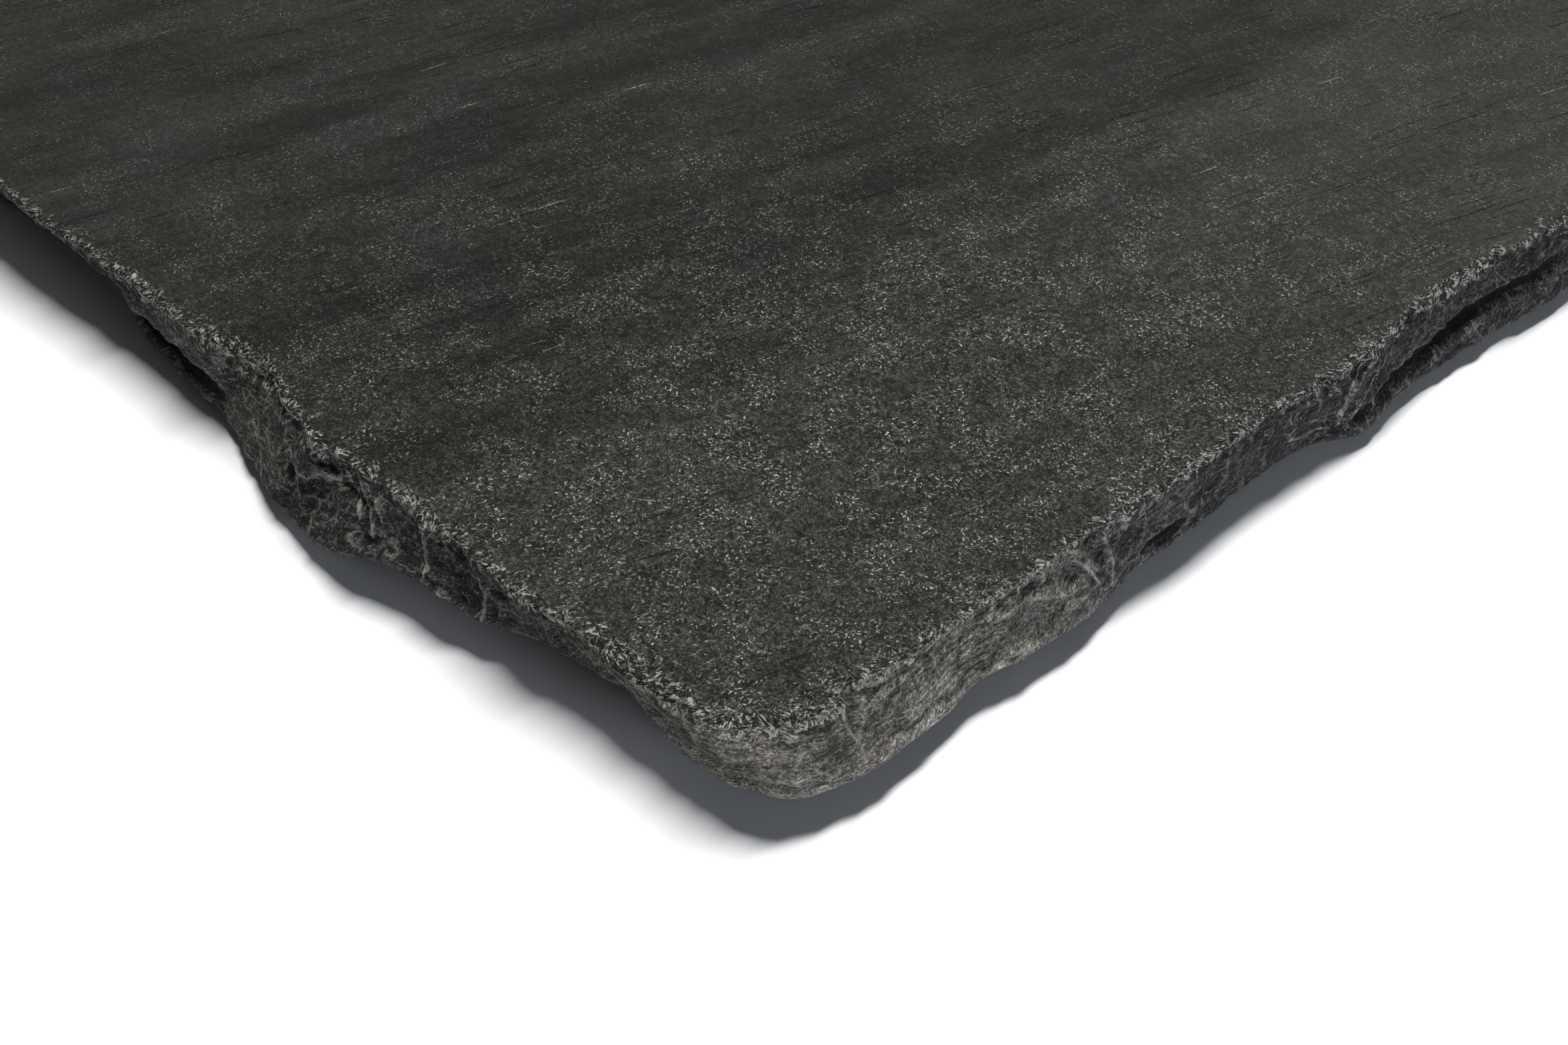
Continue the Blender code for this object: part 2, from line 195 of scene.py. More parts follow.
def knocked_cusps(seed, start, end, pitch, proud, deep):
    """Cusps every pitch millimetres or so, standing proud by up to that much, with hollows up to deep."""
    chance = random.Random(seed)
    cusps = []
    at = start
    while at < end:
        cusps.append((at, -chance.uniform(*proud), chance.uniform(*deep) * chance.uniform(0.35, 1.0)))
        at += chance.uniform(*pitch)
    return cusps


def closed_chain(known, back, seed, pitch, proud, deep):
    """The known cusps, and random ones on both sides of them round to the corner at the back."""
    start, end = known[0][0], known[-1][0]
    before = knocked_cusps(seed, 1 - back, start - pitch[0], pitch, proud, deep)
    after = knocked_cusps(seed + 1, end + pitch[0], back - pitch[0], pitch, proud, deep)
    corner = before[0][1]
    return [(-back, corner, 0.0)] + before + list(known) + after + [(back, corner, 0.0)]


def inward(chain, along):
    """How far inside the nominal outline a chain of hollows stands at a place along it."""
    place = min(bisect.bisect_right(chain, (along, math.inf)), len(chain) - 1) - 1
    start, here, hollow = chain[place]
    end, there, _ = chain[place + 1]
    share = (along - start) / (end - start)
    return here + (there - here) * share + 4 * hollow * share * (1 - share)


def eased(chain, along, back):
    """The same with its corners eased over a few millimetres."""
    nearby = [max(-back, min(back, along + step)) for step in EASING]
    return sum(inward(chain, place) for place in nearby) / len(nearby)


def between(table, along):
    """A value read off a table of (place, value), straight between its entries and level past its ends."""
    place = bisect.bisect_right(table, (along, math.inf))
    if place == 0 or place == len(table):
        return table[min(place, len(table) - 1)][1]
    (start, here), (end, there) = table[place - 1], table[place]
    return here + (there - here) * (along - start) / (end - start)


def flakes(spot, size, sharpness):
    """Tilted planes that meet at ridges, as struck stone breaks: their height, and how near a ridge the spot is."""
    place = spot / size
    distances, middles = noise.voronoi(place)
    height = weights = 0.0
    for distance, middle in zip(distances, middles):
        weight = math.exp(-sharpness * (distance - distances[0]))
        tilt = noise.cell_vector(middle * 43.7)
        height += weight * ((place - middle).dot(tilt - Vector((0.5, 0.5, 0.5))) + 0.5 * (tilt.x - 0.5))
        weights += weight
    return height / weights, 1 - smooth(0.0, 0.16, distances[1] - distances[0])


def distance_to_line(line, along, height):
    """How far a place on the side is from a line of (along, height) points."""
    nearest = math.inf
    for (x1, z1), (x2, z2) in zip(line, line[1:]):
        run, rise = x2 - x1, z2 - z1
        share = max(0.0, min(1.0, ((along - x1) * run + (height - z1) * rise) / (run * run + rise * rise)))
        nearest = min(nearest, math.hypot(along - x1 - share * run, height - z1 - share * rise))
    return nearest


class Stone:
    """The dressed stone's form: where each point of a plain square block ends up. Lengths are in millimetres."""

    def __init__(self, sizes):
        self.half = sizes.side / MM / 2
        self.thickness = sizes.thickness / MM
        self.corner_radius = sizes.corner_radius / MM
        self.flake_depth = sizes.flake_depth / MM
        self.grit_depth = sizes.grit_depth / MM
        self.top_swell = sizes.top_swell / MM
        self.back = 4 * self.half
        self.arris = closed_chain(ARRIS_CUSPS, self.back, seed=11, pitch=(16, 52), proud=(-1.2, 3.0), deep=(0.4, 4.5))
        self.foot = closed_chain(FOOT_CUSPS, self.back, seed=29, pitch=(18, 60), proud=(-1.0, 8.5), deep=(1.5, 11.0))
        self.chance = random.Random(sizes.seed)
        self.scars = self.with_random(SCARS, self.random_scar, count=46)
        self.splits = self.with_random(SPLITS, self.random_split, count=11)
        self.ridges = self.with_random(RIDGES, self.random_ridge, count=30)
        self.spalls = self.with_random(SPALLS, self.random_spall, count=15)

    def with_random(self, known, random_mark, count):
        """The known marks of one kind, and that many random ones on each of the two back stretches."""
        stretches = [(-self.back, -BACK_START), (BACK_START, self.back)]
        return list(known) + [random_mark(self.chance, span) for span in stretches for _ in range(count)]

    def random_scar(self, chance, span):
        half_length = chance.uniform(3, 11)
        half_height = min(10, half_length * chance.uniform(0.5, 1.0))
        depth = chance.uniform(0.7, 1.9)
        return chance.uniform(*span), chance.uniform(4, self.thickness - 3), half_length, half_height, depth

    def random_split(self, chance, span):
        start = chance.uniform(*span)
        height = chance.uniform(4, self.thickness - 4)
        end = start + chance.uniform(20, 80)
        return start, height, end, height + chance.uniform(-3, 3), chance.uniform(1.2, 3.2), chance.uniform(0.8, 4)

    def random_ridge(self, chance, span):
        along, height = chance.uniform(*span), chance.uniform(14, self.thickness - 1)
        line = [(along, height)]
        lean = chance.uniform(-3.5, 3.5)
        while height > 5:
            along, height = along + lean + chance.uniform(-1.5, 1.5), height - chance.uniform(3, 5)
            line.append((along, height))
        return tuple(line)

    def random_spall(self, chance, span):
        return chance.uniform(*span), chance.uniform(8, 26), chance.uniform(3, 8), chance.uniform(0.4, 1.5)

    def along(self, x, y):
        """Distance round from the front corner, at +X -Y, of a point on the nominal square."""
        if abs(x) >= abs(y):
            return self.half + y if x > 0 else -3 * self.half - y
        return 3 * self.half - x if y > 0 else x - self.half

    def rounded(self, x, y):
        """The point of the rounded outline that a point of the nominal square moves to, and the way outwards."""
        core = self.half - self.corner_radius
        middle = Vector((max(-core, min(core, x)), max(-core, min(core, y)), 0.0))
        outwards = (Vector((x, y, 0.0)) - middle).normalized()
        return middle + outwards * self.corner_radius, outwards

    def foot_height(self, along, spot):
        """How high the foot of the side stands over the underside."""
        known = between(FOOT_HEIGHTS, along)
        hidden = max(0.8, min(9.0, 4.2 + 6.0 * noise.noise(Vector((spot.x, spot.y, 0.0)) / 60)))
        return known + (hidden - known) * smooth(FRONT_REACH, FRONT_REACH + 30, abs(along))

    def lean(self, along, spot, outwards):
        """Which way the break of the side runs for each millimetre of height."""
        to_point = (LEAN_POINT - Vector((spot.x, spot.y, 0.0))) / LEAN_POINT.z
        straight_out = outwards * BACK_LEAN + Vector((0.0, 0.0, 1.0))
        return to_point.lerp(straight_out, smooth(FRONT_REACH, FRONT_REACH + 120, abs(along)))

    def arris_chips(self, along):
        """Small nicks in the arris: how far each bites in at a place."""
        distances, middles = noise.voronoi(Vector((along / 6.5, 3.1, 0.4)))
        reach = 0.42 + 0.2 * noise.cell(middles[0] * 31.3)
        return max(0.0, 1 - (distances[0] / reach) ** 2) * (0.75 + 0.65 * noise.cell(middles[0] * 17.9))

    def arris_line(self, along):
        """How far the arris stands in from the nominal outline, and how far below the top."""
        chips = self.arris_chips(along)
        fray = 0.45 * noise.noise(Vector((along / 3.3, 7.7, 0)))
        fray += 0.2 * noise.noise(Vector((along / 1.3, 1.7, 0)))
        drop = 0.35 + 0.3 * noise.noise(Vector((along / 4.1, 0, 9.1))) + 0.8 * chips
        return eased(self.arris, along, self.back) + fray + 0.7 * chips, drop

    def spall(self, along, inside):
        """How far the top has spalled away, at a distance inside the arris."""
        drop = 0.0
        for middle, half_length, reach, depth in self.spalls:
            beside = abs(along - middle) / half_length
            if beside < 1 and inside < reach:
                drop = max(drop, depth * (1 - beside**2) * (1 - inside / reach) ** 1.4)
        return drop

    def scar_at(self, along, height):
        """How deep the scars are at a place on the side, and how near it is to a rim."""
        scar = rim = 0.0
        for middle, level, half_length, half_height, depth in self.scars:
            gone = math.hypot((along - middle) / half_length, (height - level) / half_height)
            if gone < 1.3:
                scar = max(scar, depth * (1 - gone * gone))
                off_rim = (gone - 1) * min(half_length, half_height)
                rim = max(rim, math.exp(-((off_rim / RIM_WIDTH) ** 2)))
        return scar, rim

    def split_at(self, along, height, spot):
        """How deep the splits are at a place on the side."""
        split = 0.0
        for start, start_height, end, end_height, half_width, depth in self.splits:
            if start < along < end:
                share = (along - start) / (end - start)
                level = start_height + (end_height - start_height) * share + 0.8 * noise.noise(spot / 9)
                above = abs(height - level) / half_width
                if above < 1:
                    split = max(split, depth * (1 - (2 * share - 1) ** 4) * (1 - above**2))
        return split

    def ridge_at(self, along, height):
        """How much of a ridge stands at a place on the side, and how much of the pale line drawn on it."""
        ridge = pale_line = 0.0
        for line in self.ridges:
            if min(line[0][0], line[-1][0]) - 5 < along < max(line[0][0], line[-1][0]) + 5:
                off_line = distance_to_line(line, along, height)
                ridge = max(ridge, math.exp(-((off_line / RIDGE_WIDTH) ** 2)))
                pale_line = max(pale_line, math.exp(-((off_line / RIDGE_LINE_WIDTH) ** 2)))
        return ridge, pale_line

    def side_relief(self, along, height, spot):
        """How much deeper than its plain profile the side is, how much ridge there is, and how much painted shade its
        scars and splits take.
        """
        scar, rim = self.scar_at(along, height)
        split = self.split_at(along, height, spot)
        ridge, pale_line = self.ridge_at(along, height)
        broad, broad_edge = flakes(spot, size=13.0, sharpness=9.0)
        fine, _ = flakes(spot + Vector((40, 0, 0)), size=5.2, sharpness=8.0)
        grit = noise.fractal(spot / 2.4, 0.9, 2.1, 4)
        lamina = (height / 1.7 + 1.2 * noise.noise(spot / 21)) % 1.0
        layered = smooth(-0.15, 0.35, noise.noise(spot / 33 + Vector((5, 5, 5))))
        depth = self.flake_depth * (broad + 0.42 * fine) + self.grit_depth * grit
        depth += 0.42 * layered * (lamina - 0.5)
        depth += scar + split - 0.55 * ridge - 0.22 * rim
        # Painted shade: the deeper the scar or split, the more of it.
        return depth, max(pale_line, 0.93 * rim, 0.92 * broad_edge), smooth(0.5, 2.6, scar + 1.4 * split)

    def side_inset(self, along, height, spot):
        """How far the side stands in from the nominal outline at a height, its ridge zone, and the painted shade of
        its scars and splits.
        """
        share = min(1.0, height / self.thickness)
        arris, _ = self.arris_line(along)
        foot = eased(self.foot, along, self.back) + 0.3 * noise.noise(Vector((along / 11, 4.4, 0)))
        # Under an overhang the side falls back fast below the arris, and where the undercut is deep, evenly.
        if foot > arris:
            curve = share ** (1.5 - 0.7 * smooth(6, 12, foot - arris))
        else:
            curve = 1 - (1 - share) ** 1.5
        belly = smooth(0, 2.4, self.thickness - height) * smooth(-0.4, 1.6, height)
        under = 1.1 * (1 - smooth(0, 1.6, height))
        relief, ridge, pit = self.side_relief(along, height, spot)
        return foot + (arris - foot) * curve + belly * relief + under, ridge * belly, pit * belly

    def top_relief(self, x, y):
        """Height of the cleft face over its mean: a slow swell, thin laminae that end in low steps, and grain."""
        lean = CLEFT_DIRECTION
        across, beside = x * math.cos(lean) + y * math.sin(lean), y * math.cos(lean) - x * math.sin(lean)
        field = 3 * noise.fractal(Vector((across / 3.2, beside, 0)) / 95, 0.8, 2.1, 3)
        lamina = math.floor(field)
        steps = STEP_HEIGHT * (lamina + smooth(0, 0.25, field - lamina))
        spot = Vector((x, y, 0))
        grain = 0.11 * noise.fractal(spot / 19, 0.8, 2.1, 4)
        return self.top_swell * noise.noise(spot / 150) + steps + grain

    def freshness_and_painted_light(self, along):
        """How pale the side is: partly how freshly broken it is, and partly painted light."""
        if abs(along) < FRONT_REACH:
            return between(FRESHNESS_AND_PAINTED_LIGHT, along)
        return 0.45 + 0.5 * noise.noise(Vector((along / 60, 2.2, 5.5)))

    def smoothness(self, along):
        """How even the plane is along which the side broke."""
        if abs(along) < FRONT_REACH:
            return between(SMOOTHNESS, along)
        return smooth(0.0, 0.6, noise.noise(Vector((along / 45, 8.1, 1.5))))

    def place(self, point):
        """Where a point of the plain block lies on the stone, and its share in each zone."""
        x, y, z = point
        reach = max(abs(x), abs(y))
        inside = self.half - reach
        zones = dict.fromkeys(ZONES, 0.0)
        moved = Vector((0.0, 0.0, 0.0))
        if inside < TOP_RINGS[0] - 0.01:
            edge_x, edge_y = x * self.half / reach, y * self.half / reach
            along = self.along(edge_x, edge_y)
            outline, outwards = self.rounded(edge_x, edge_y)
            spot = Vector((outline.x, outline.y, z))
            inset, ridge, pit = self.side_inset(along, z, spot)
            falloff = (1 - inside / TOP_RINGS[0]) ** 2
            shift = (outline - Vector((edge_x, edge_y, 0)) - outwards * inset) * falloff
            x, y = x + shift.x, y + shift.y
            share = z / self.thickness
            _, arris_drop = self.arris_line(along)
            spalled = self.spall(along, inside)
            drop = arris_drop * math.exp(-inside / 1.1) * share**6 + spalled * share**3
            height = self.foot_height(along, outline)
            lifted = height * (1 - share) * max(0.0, 1 - inside / (4 + 1.1 * height)) ** 1.5
            moved = (lifted - drop) * self.lean(along, outline, outwards)
            on_side = 1 - smooth(0, 0.6, inside)
            from_arris = inside + (self.thickness - z) * on_side
            crushed = math.exp(-from_arris / 4.0) + 0.35 * min(1.0, spalled)
            # Painted shade goes into the scars and splits.
            zones.update(crushed=min(1.0, crushed), ridge=ridge * on_side, pit=pit * on_side)
            # How fresh the break is also carries painted light on the faces round the front corner.
            zones.update(fresh=self.freshness_and_painted_light(along), smooth=self.smoothness(along))
        on_top = (z / self.thickness) ** 4
        if on_top > 0.05:
            z += on_top * self.top_relief(x, y)
        return Vector((x, y, z)) + moved, zones


def cut_block(stone):
    """A plain square block: a fine grid on top, then rings of narrow faces to the arris, down the sides and under."""
    block = bmesh.new()
    half = stone.half
    bmesh.ops.create_grid(block, x_segments=TOP_CELLS, y_segments=TOP_CELLS, size=half - TOP_RINGS[0])
    bmesh.ops.translate(block, verts=block.verts, vec=(0, 0, stone.thickness))
    rim = [edge for edge in block.edges if edge.is_boundary]
    near, far = [], []
    for edge in rim:
        middle = (edge.verts[0].co + edge.verts[1].co) / 2
        on_front_sides = middle.x > 0 and middle.y < 0
        (near if on_front_sides else far).append(edge)
    bmesh.ops.bisect_edges(block, edges=near, cuts=NEAR_COLUMNS - 1)
    bmesh.ops.bisect_edges(block, edges=far, cuts=FAR_COLUMNS - 1)
    ring = [edge for edge in block.edges if edge.is_boundary]
    for outer, inner in zip(TOP_RINGS[1:], TOP_RINGS):
        ring = extruded(block, ring, spread=(half - outer) / (half - inner))
    for level in SIDE_LEVELS:
        ring = extruded(block, ring, level=level)
    before = 0.0
    for inner in UNDER_RINGS:
        ring = extruded(block, ring, spread=(half - inner) / (half - before))
        before = inner
    bmesh.ops.contextual_create(block, geom=ring)
    return block


def extruded(block, ring, spread=1.0, level=None):
    """Extrudes a ring of edges, spreads the new ring or sets its level, and returns its edges."""
    grown = bmesh.ops.extrude_edge_only(block, edges=ring)["geom"]
    verts = [part for part in grown if isinstance(part, bmesh.types.BMVert)]
    bmesh.ops.scale(block, verts=verts, vec=(spread, spread, 1))
    if level is not None:
        for vert in verts:
            vert.co.z = level
    return [part for part in grown if isinstance(part, bmesh.types.BMEdge) and part.is_boundary]


def map_grain(block, stone):
    """Lays the block's own map: across the top and underside as seen from above, and along and up the sides.

    The sides also take the second of the stone's two finishes.
    """
    layer = block.loops.layers.uv.new("grain")
    for face in block.faces:
        middle = face.calc_center_median()
        on_side = 0.0 < middle.z < stone.thickness - 0.01
        face.material_index = int(on_side)
        for loop in face.loops:
            x, y, z = loop.vert.co
            if on_side:
                x, y = stone.along(x, y), z
                # The map's two ends meet at the back corner, where each face keeps to its own end.
                if abs(x) == stone.back:
                    x = math.copysign(x, stone.along(middle.x, middle.y))
            loop[layer].uv = (x, y)


def read_rows(items, name, width, kind=float):
    """A value of every item of a mesh, as rows that wide."""
    values = np.empty(len(items) * width, dtype=kind)
    items.foreach_get(name, values)
    return values.reshape(-1, width)


def add_relief_zone(mesh, name, rounds):
    """Stores how far each point stands over or under the surface smoothed by that many rounds, in millimetres."""
    count = len(mesh.vertices)
    places = read_rows(mesh.vertices, "co", 3) / MM
    ends = read_rows(mesh.edges, "vertices", 2, np.int64)
    first, second = np.concatenate((ends, ends[:, ::-1])).T
    neighbours = np.bincount(first, minlength=count)
    smoothed = places.copy()
    for _ in range(rounds):
        sums = [np.bincount(first, weights=smoothed[second, axis], minlength=count) for axis in range(3)]
        smoothed = 0.5 * smoothed + 0.5 * np.stack(sums, axis=1) / neighbours[:, None]
    proud = ((places - smoothed) * read_rows(mesh.vertex_normals, "vector", 3)).sum(axis=1)
    mesh.attributes.new(name, "FLOAT", "POINT").data.foreach_set("value", proud)


def make_slab(sizes):
    """The finished stone as one closed mesh object, with its map and a layer for each zone of its finish."""
    stone = Stone(sizes)
    block = cut_block(stone)
    map_grain(block, stone)
    layers = {zone: block.verts.layers.float.new(zone) for zone in ZONES}
    for vert in block.verts:
        vert.co, zones = stone.place(vert.co)
        for zone, layer in layers.items():
            vert[layer] = zones[zone]
    bmesh.ops.triangulate(block, faces=block.faces)
    bmesh.ops.recalc_face_normals(block, faces=block.faces)
    bmesh.ops.scale(block, verts=block.verts, vec=(MM, MM, MM))
    for face in block.faces:
        face.smooth = True
    mesh = bpy.data.meshes.new("limestone_slab")
    block.to_mesh(mesh)
    block.free()
    add_relief_zone(mesh, "proud_fine", rounds=3)
    add_relief_zone(mesh, "proud_broad", rounds=30)
    slab = bpy.data.objects.new("limestone_slab", mesh)
    bpy.context.scene.collection.objects.link(slab)
    return slab


class Graph:
    """Adds and links the nodes of one material."""

    def __init__(self, name):
        self.material = bpy.data.materials.new(name)
        self.material.use_nodes = True
        self.tree = self.material.node_tree
        self.shader = self.tree.nodes["Principled BSDF"]

    def plug(self, socket, value):
        if isinstance(value, bpy.types.NodeSocket):
            self.tree.links.new(value, socket)
        elif value is not None:
            socket.default_value = value

    def add(self, kind, inputs=(), **settings):
        node = self.tree.nodes.new(kind)
        for name, value in settings.items():
            setattr(node, name, value)
        self.fill(node, inputs)
        return node

    def fill(self, node, inputs):
        """Plugs values into a node's inputs, which go by name or number."""
        for name, value in dict(inputs).items():
            self.plug(node.inputs[name], value)

    def math(self, operation, first, second=None, third=None):
        return self.add("ShaderNodeMath", enumerate((first, second, third)), operation=operation).outputs[0]

    def product(self, first, *others):
        for other in others:
            first = self.math("MULTIPLY", first, other)
        return first

    def highest(self, first, *others):
        for other in others:
            first = self.math("MAXIMUM", first, other)
        return first

    def weighted(self, first, *others):
        """The first value with a share of each other one added, given as (value, share)."""
        for value, share in others:
            first = self.math("MULTIPLY_ADD", value, share, first)
        return first

    def vector(self, operation, first, second=None, third=None, scale=None):
        node = self.add("ShaderNodeVectorMath", enumerate((first, second, third, scale)), operation=operation)
        return node.outputs["Value" if operation in ("LENGTH", "DOT_PRODUCT") else "Vector"]

    def remap(self, value, low, high, to_low=0.0, to_high=1.0, soft=True):
        inputs = {"Value": value, "From Min": low, "From Max": high, "To Min": to_low, "To Max": to_high}
        kind = "SMOOTHSTEP" if soft else "LINEAR"
        return self.add("ShaderNodeMapRange", inputs, interpolation_type=kind, clamp=True).outputs["Result"]

    def mix(self, share, first, second, blend="MIX"):
        inputs = {0: share, 6: first, 7: second}
        return self.add("ShaderNodeMix", inputs, data_type="RGBA", blend_type=blend, clamp_factor=True).outputs[2]

    def blend(self, share, first, second):
        """As mix, but between two numbers."""
        inputs = {0: share, 2: first, 3: second}
        return self.add("ShaderNodeMix", inputs, data_type="FLOAT", clamp_factor=True).outputs[0]

    def noise(self, place, size, detail=2.0, roughness=0.5, distortion=0.0, output="Fac"):
        inputs = {"Vector": place, "Scale": 1 / size, "Detail": detail, "Roughness": roughness}
        inputs["Distortion"] = distortion
        return self.add("ShaderNodeTexNoise", inputs).outputs[output]

    def cells(self, place, size, feature="F1"):
        inputs = {"Vector": place, "Scale": 1 / size}
        return self.add("ShaderNodeTexVoronoi", inputs, voronoi_dimensions="2D", feature=feature)

    def scattered(self, place, size):
        """Cells on a flat map: their node, three chances for each, and how far a place is from its cell's middle."""
        cells = self.cells(place, size)
        chance = self.split(cells.outputs["Color"]).outputs
        return cells, chance, self.vector("SUBTRACT", place, cells.outputs["Position"])

    def zone(self, name):
        return self.add("ShaderNodeAttribute", attribute_name=name).outputs["Fac"]

    def split(self, place):
        return self.add("ShaderNodeSeparateXYZ", {"Vector": place})

    def turned(self, place, turn):
        inputs = {"Vector": place, "Angle": turn}
        return self.add("ShaderNodeVectorRotate", inputs, rotation_type="Z_AXIS").outputs["Vector"]

    def stretched(self, place, direction, length, width):
        """Turns a flat map so that a pattern on it is that long in one direction and that wide across it."""
        return self.vector("MULTIPLY", self.turned(place, -direction), (1 / length, 1 / width, 0.0))


class StoneGraph(Graph):
    """A material of the stone, with its places in millimetres: in the stone, on its flat map, and on a bent one."""

    def __init__(self, name, wander):
        super().__init__(name)
        place = self.add("ShaderNodeTexCoord").outputs["Object"]
        self.place = self.vector("SCALE", place, scale=1 / MM)
        self.flat = self.add("ShaderNodeUVMap", uv_map="grain").outputs["UV"]
        off = self.noise(self.place, 1.2, 3.0, 0.6, output="Color")
        off = self.vector("SUBTRACT", off, (0.5, 0.5, 0.5))
        self.bent = self.vector("MULTIPLY_ADD", off, (wander, wander, 0.0), self.flat)
        self.grain = self.remap(self.noise(self.place, 0.7, 3.0, 0.75), 0.34, 0.68, DARK_GRAIN, PALE_GRAIN)

    def finished(self, colour, roughness, height):
        """Plugs the finish into the shader, with its height in millimetres, and returns the material."""
        height = self.weighted(height, (self.noise(self.place, 1.6, 5.0, 0.65), 0.45))
        bump = self.add("ShaderNodeBump", {"Height": height, "Strength": 1.0, "Distance": MM})
        self.fill(self.shader, {"Base Color": colour, "Roughness": roughness, "Specular IOR Level": 0.25})
        self.fill(self.shader, {"Normal": bump.outputs["Normal"]})
        return self.material


def add_crystals(graph, place, size, share, slender, length):
    """Short pale crystals on a flat map, in millimetres: 0 between them, and each with its own brightness inside."""
    _, chance, offset = graph.scattered(place, size)
    turned = graph.turned(offset, graph.product(chance["Z"], math.tau))
    squeezed = graph.vector("MULTIPLY", turned, (1.0, slender, 0.0))
    inside = graph.remap(graph.vector("LENGTH", squeezed), length / 2, length / 4)
    present = graph.math("LESS_THAN", chance["X"], share)
    bright = graph.math("POWER", chance["Y"], 2.0)
    return graph.product(inside, present, graph.blend(bright, 0.2, 1.0))


def add_sheaves(graph, place, patch, length, width, lean, spread):
    """Fine fibres that lie one way within each patch of a flat map: how pale each spot is."""
    cells, chance, offset = graph.scattered(place, patch)
    turn = graph.weighted(graph.math("SUBTRACT", -spread, lean), (chance["Z"], 2 * spread))
    across = graph.vector("MULTIPLY", graph.turned(offset, turn), (1 / length, 1 / width, 0.0))
    own = graph.vector("SCALE", cells.outputs["Color"], scale=61.0)
    return graph.noise(graph.vector("ADD", across, own), 1.0, 3.0, 0.6)


def add_facets(graph, place, size):
    """Facets of broken stone on a flat map: each one's tone, its tilt, and the distance to its edge."""
    cells, chance, offset = graph.scattered(place, size)
    to_edge = graph.cells(place, size, feature="DISTANCE_TO_EDGE").outputs["Distance"]
    slope = graph.vector("SUBTRACT", cells.outputs["Color"], (0.5, 0.5, 0.5))
    return chance["Y"], graph.vector("DOT_PRODUCT", offset, slope), graph.product(to_edge, size)


def add_crushed_band(graph, low, high):
    """The band crushed along the arris: its pale, ragged lumps, and how dark the gaps between them are."""
    band = graph.weighted(graph.zone("crushed"), (graph.noise(graph.place, 4.5, 3.0, 0.6), 1.8))
    band = graph.remap(band, low, high)
    lumps = graph.product(graph.noise(graph.place, 1.6, 4.0, 0.7, distortion=1.0), 0.5)
    strands = add_sheaves(graph, graph.bent, patch=4.5, length=2.6, width=0.55, lean=0.2, spread=1.6)
    lumps = graph.remap(graph.weighted(lumps, (strands, 0.5)), 0.48, 0.58)
    return graph.product(band, lumps), graph.blend(band, 1.0, graph.remap(lumps, 0.0, 0.5, 0.4, 1.0))


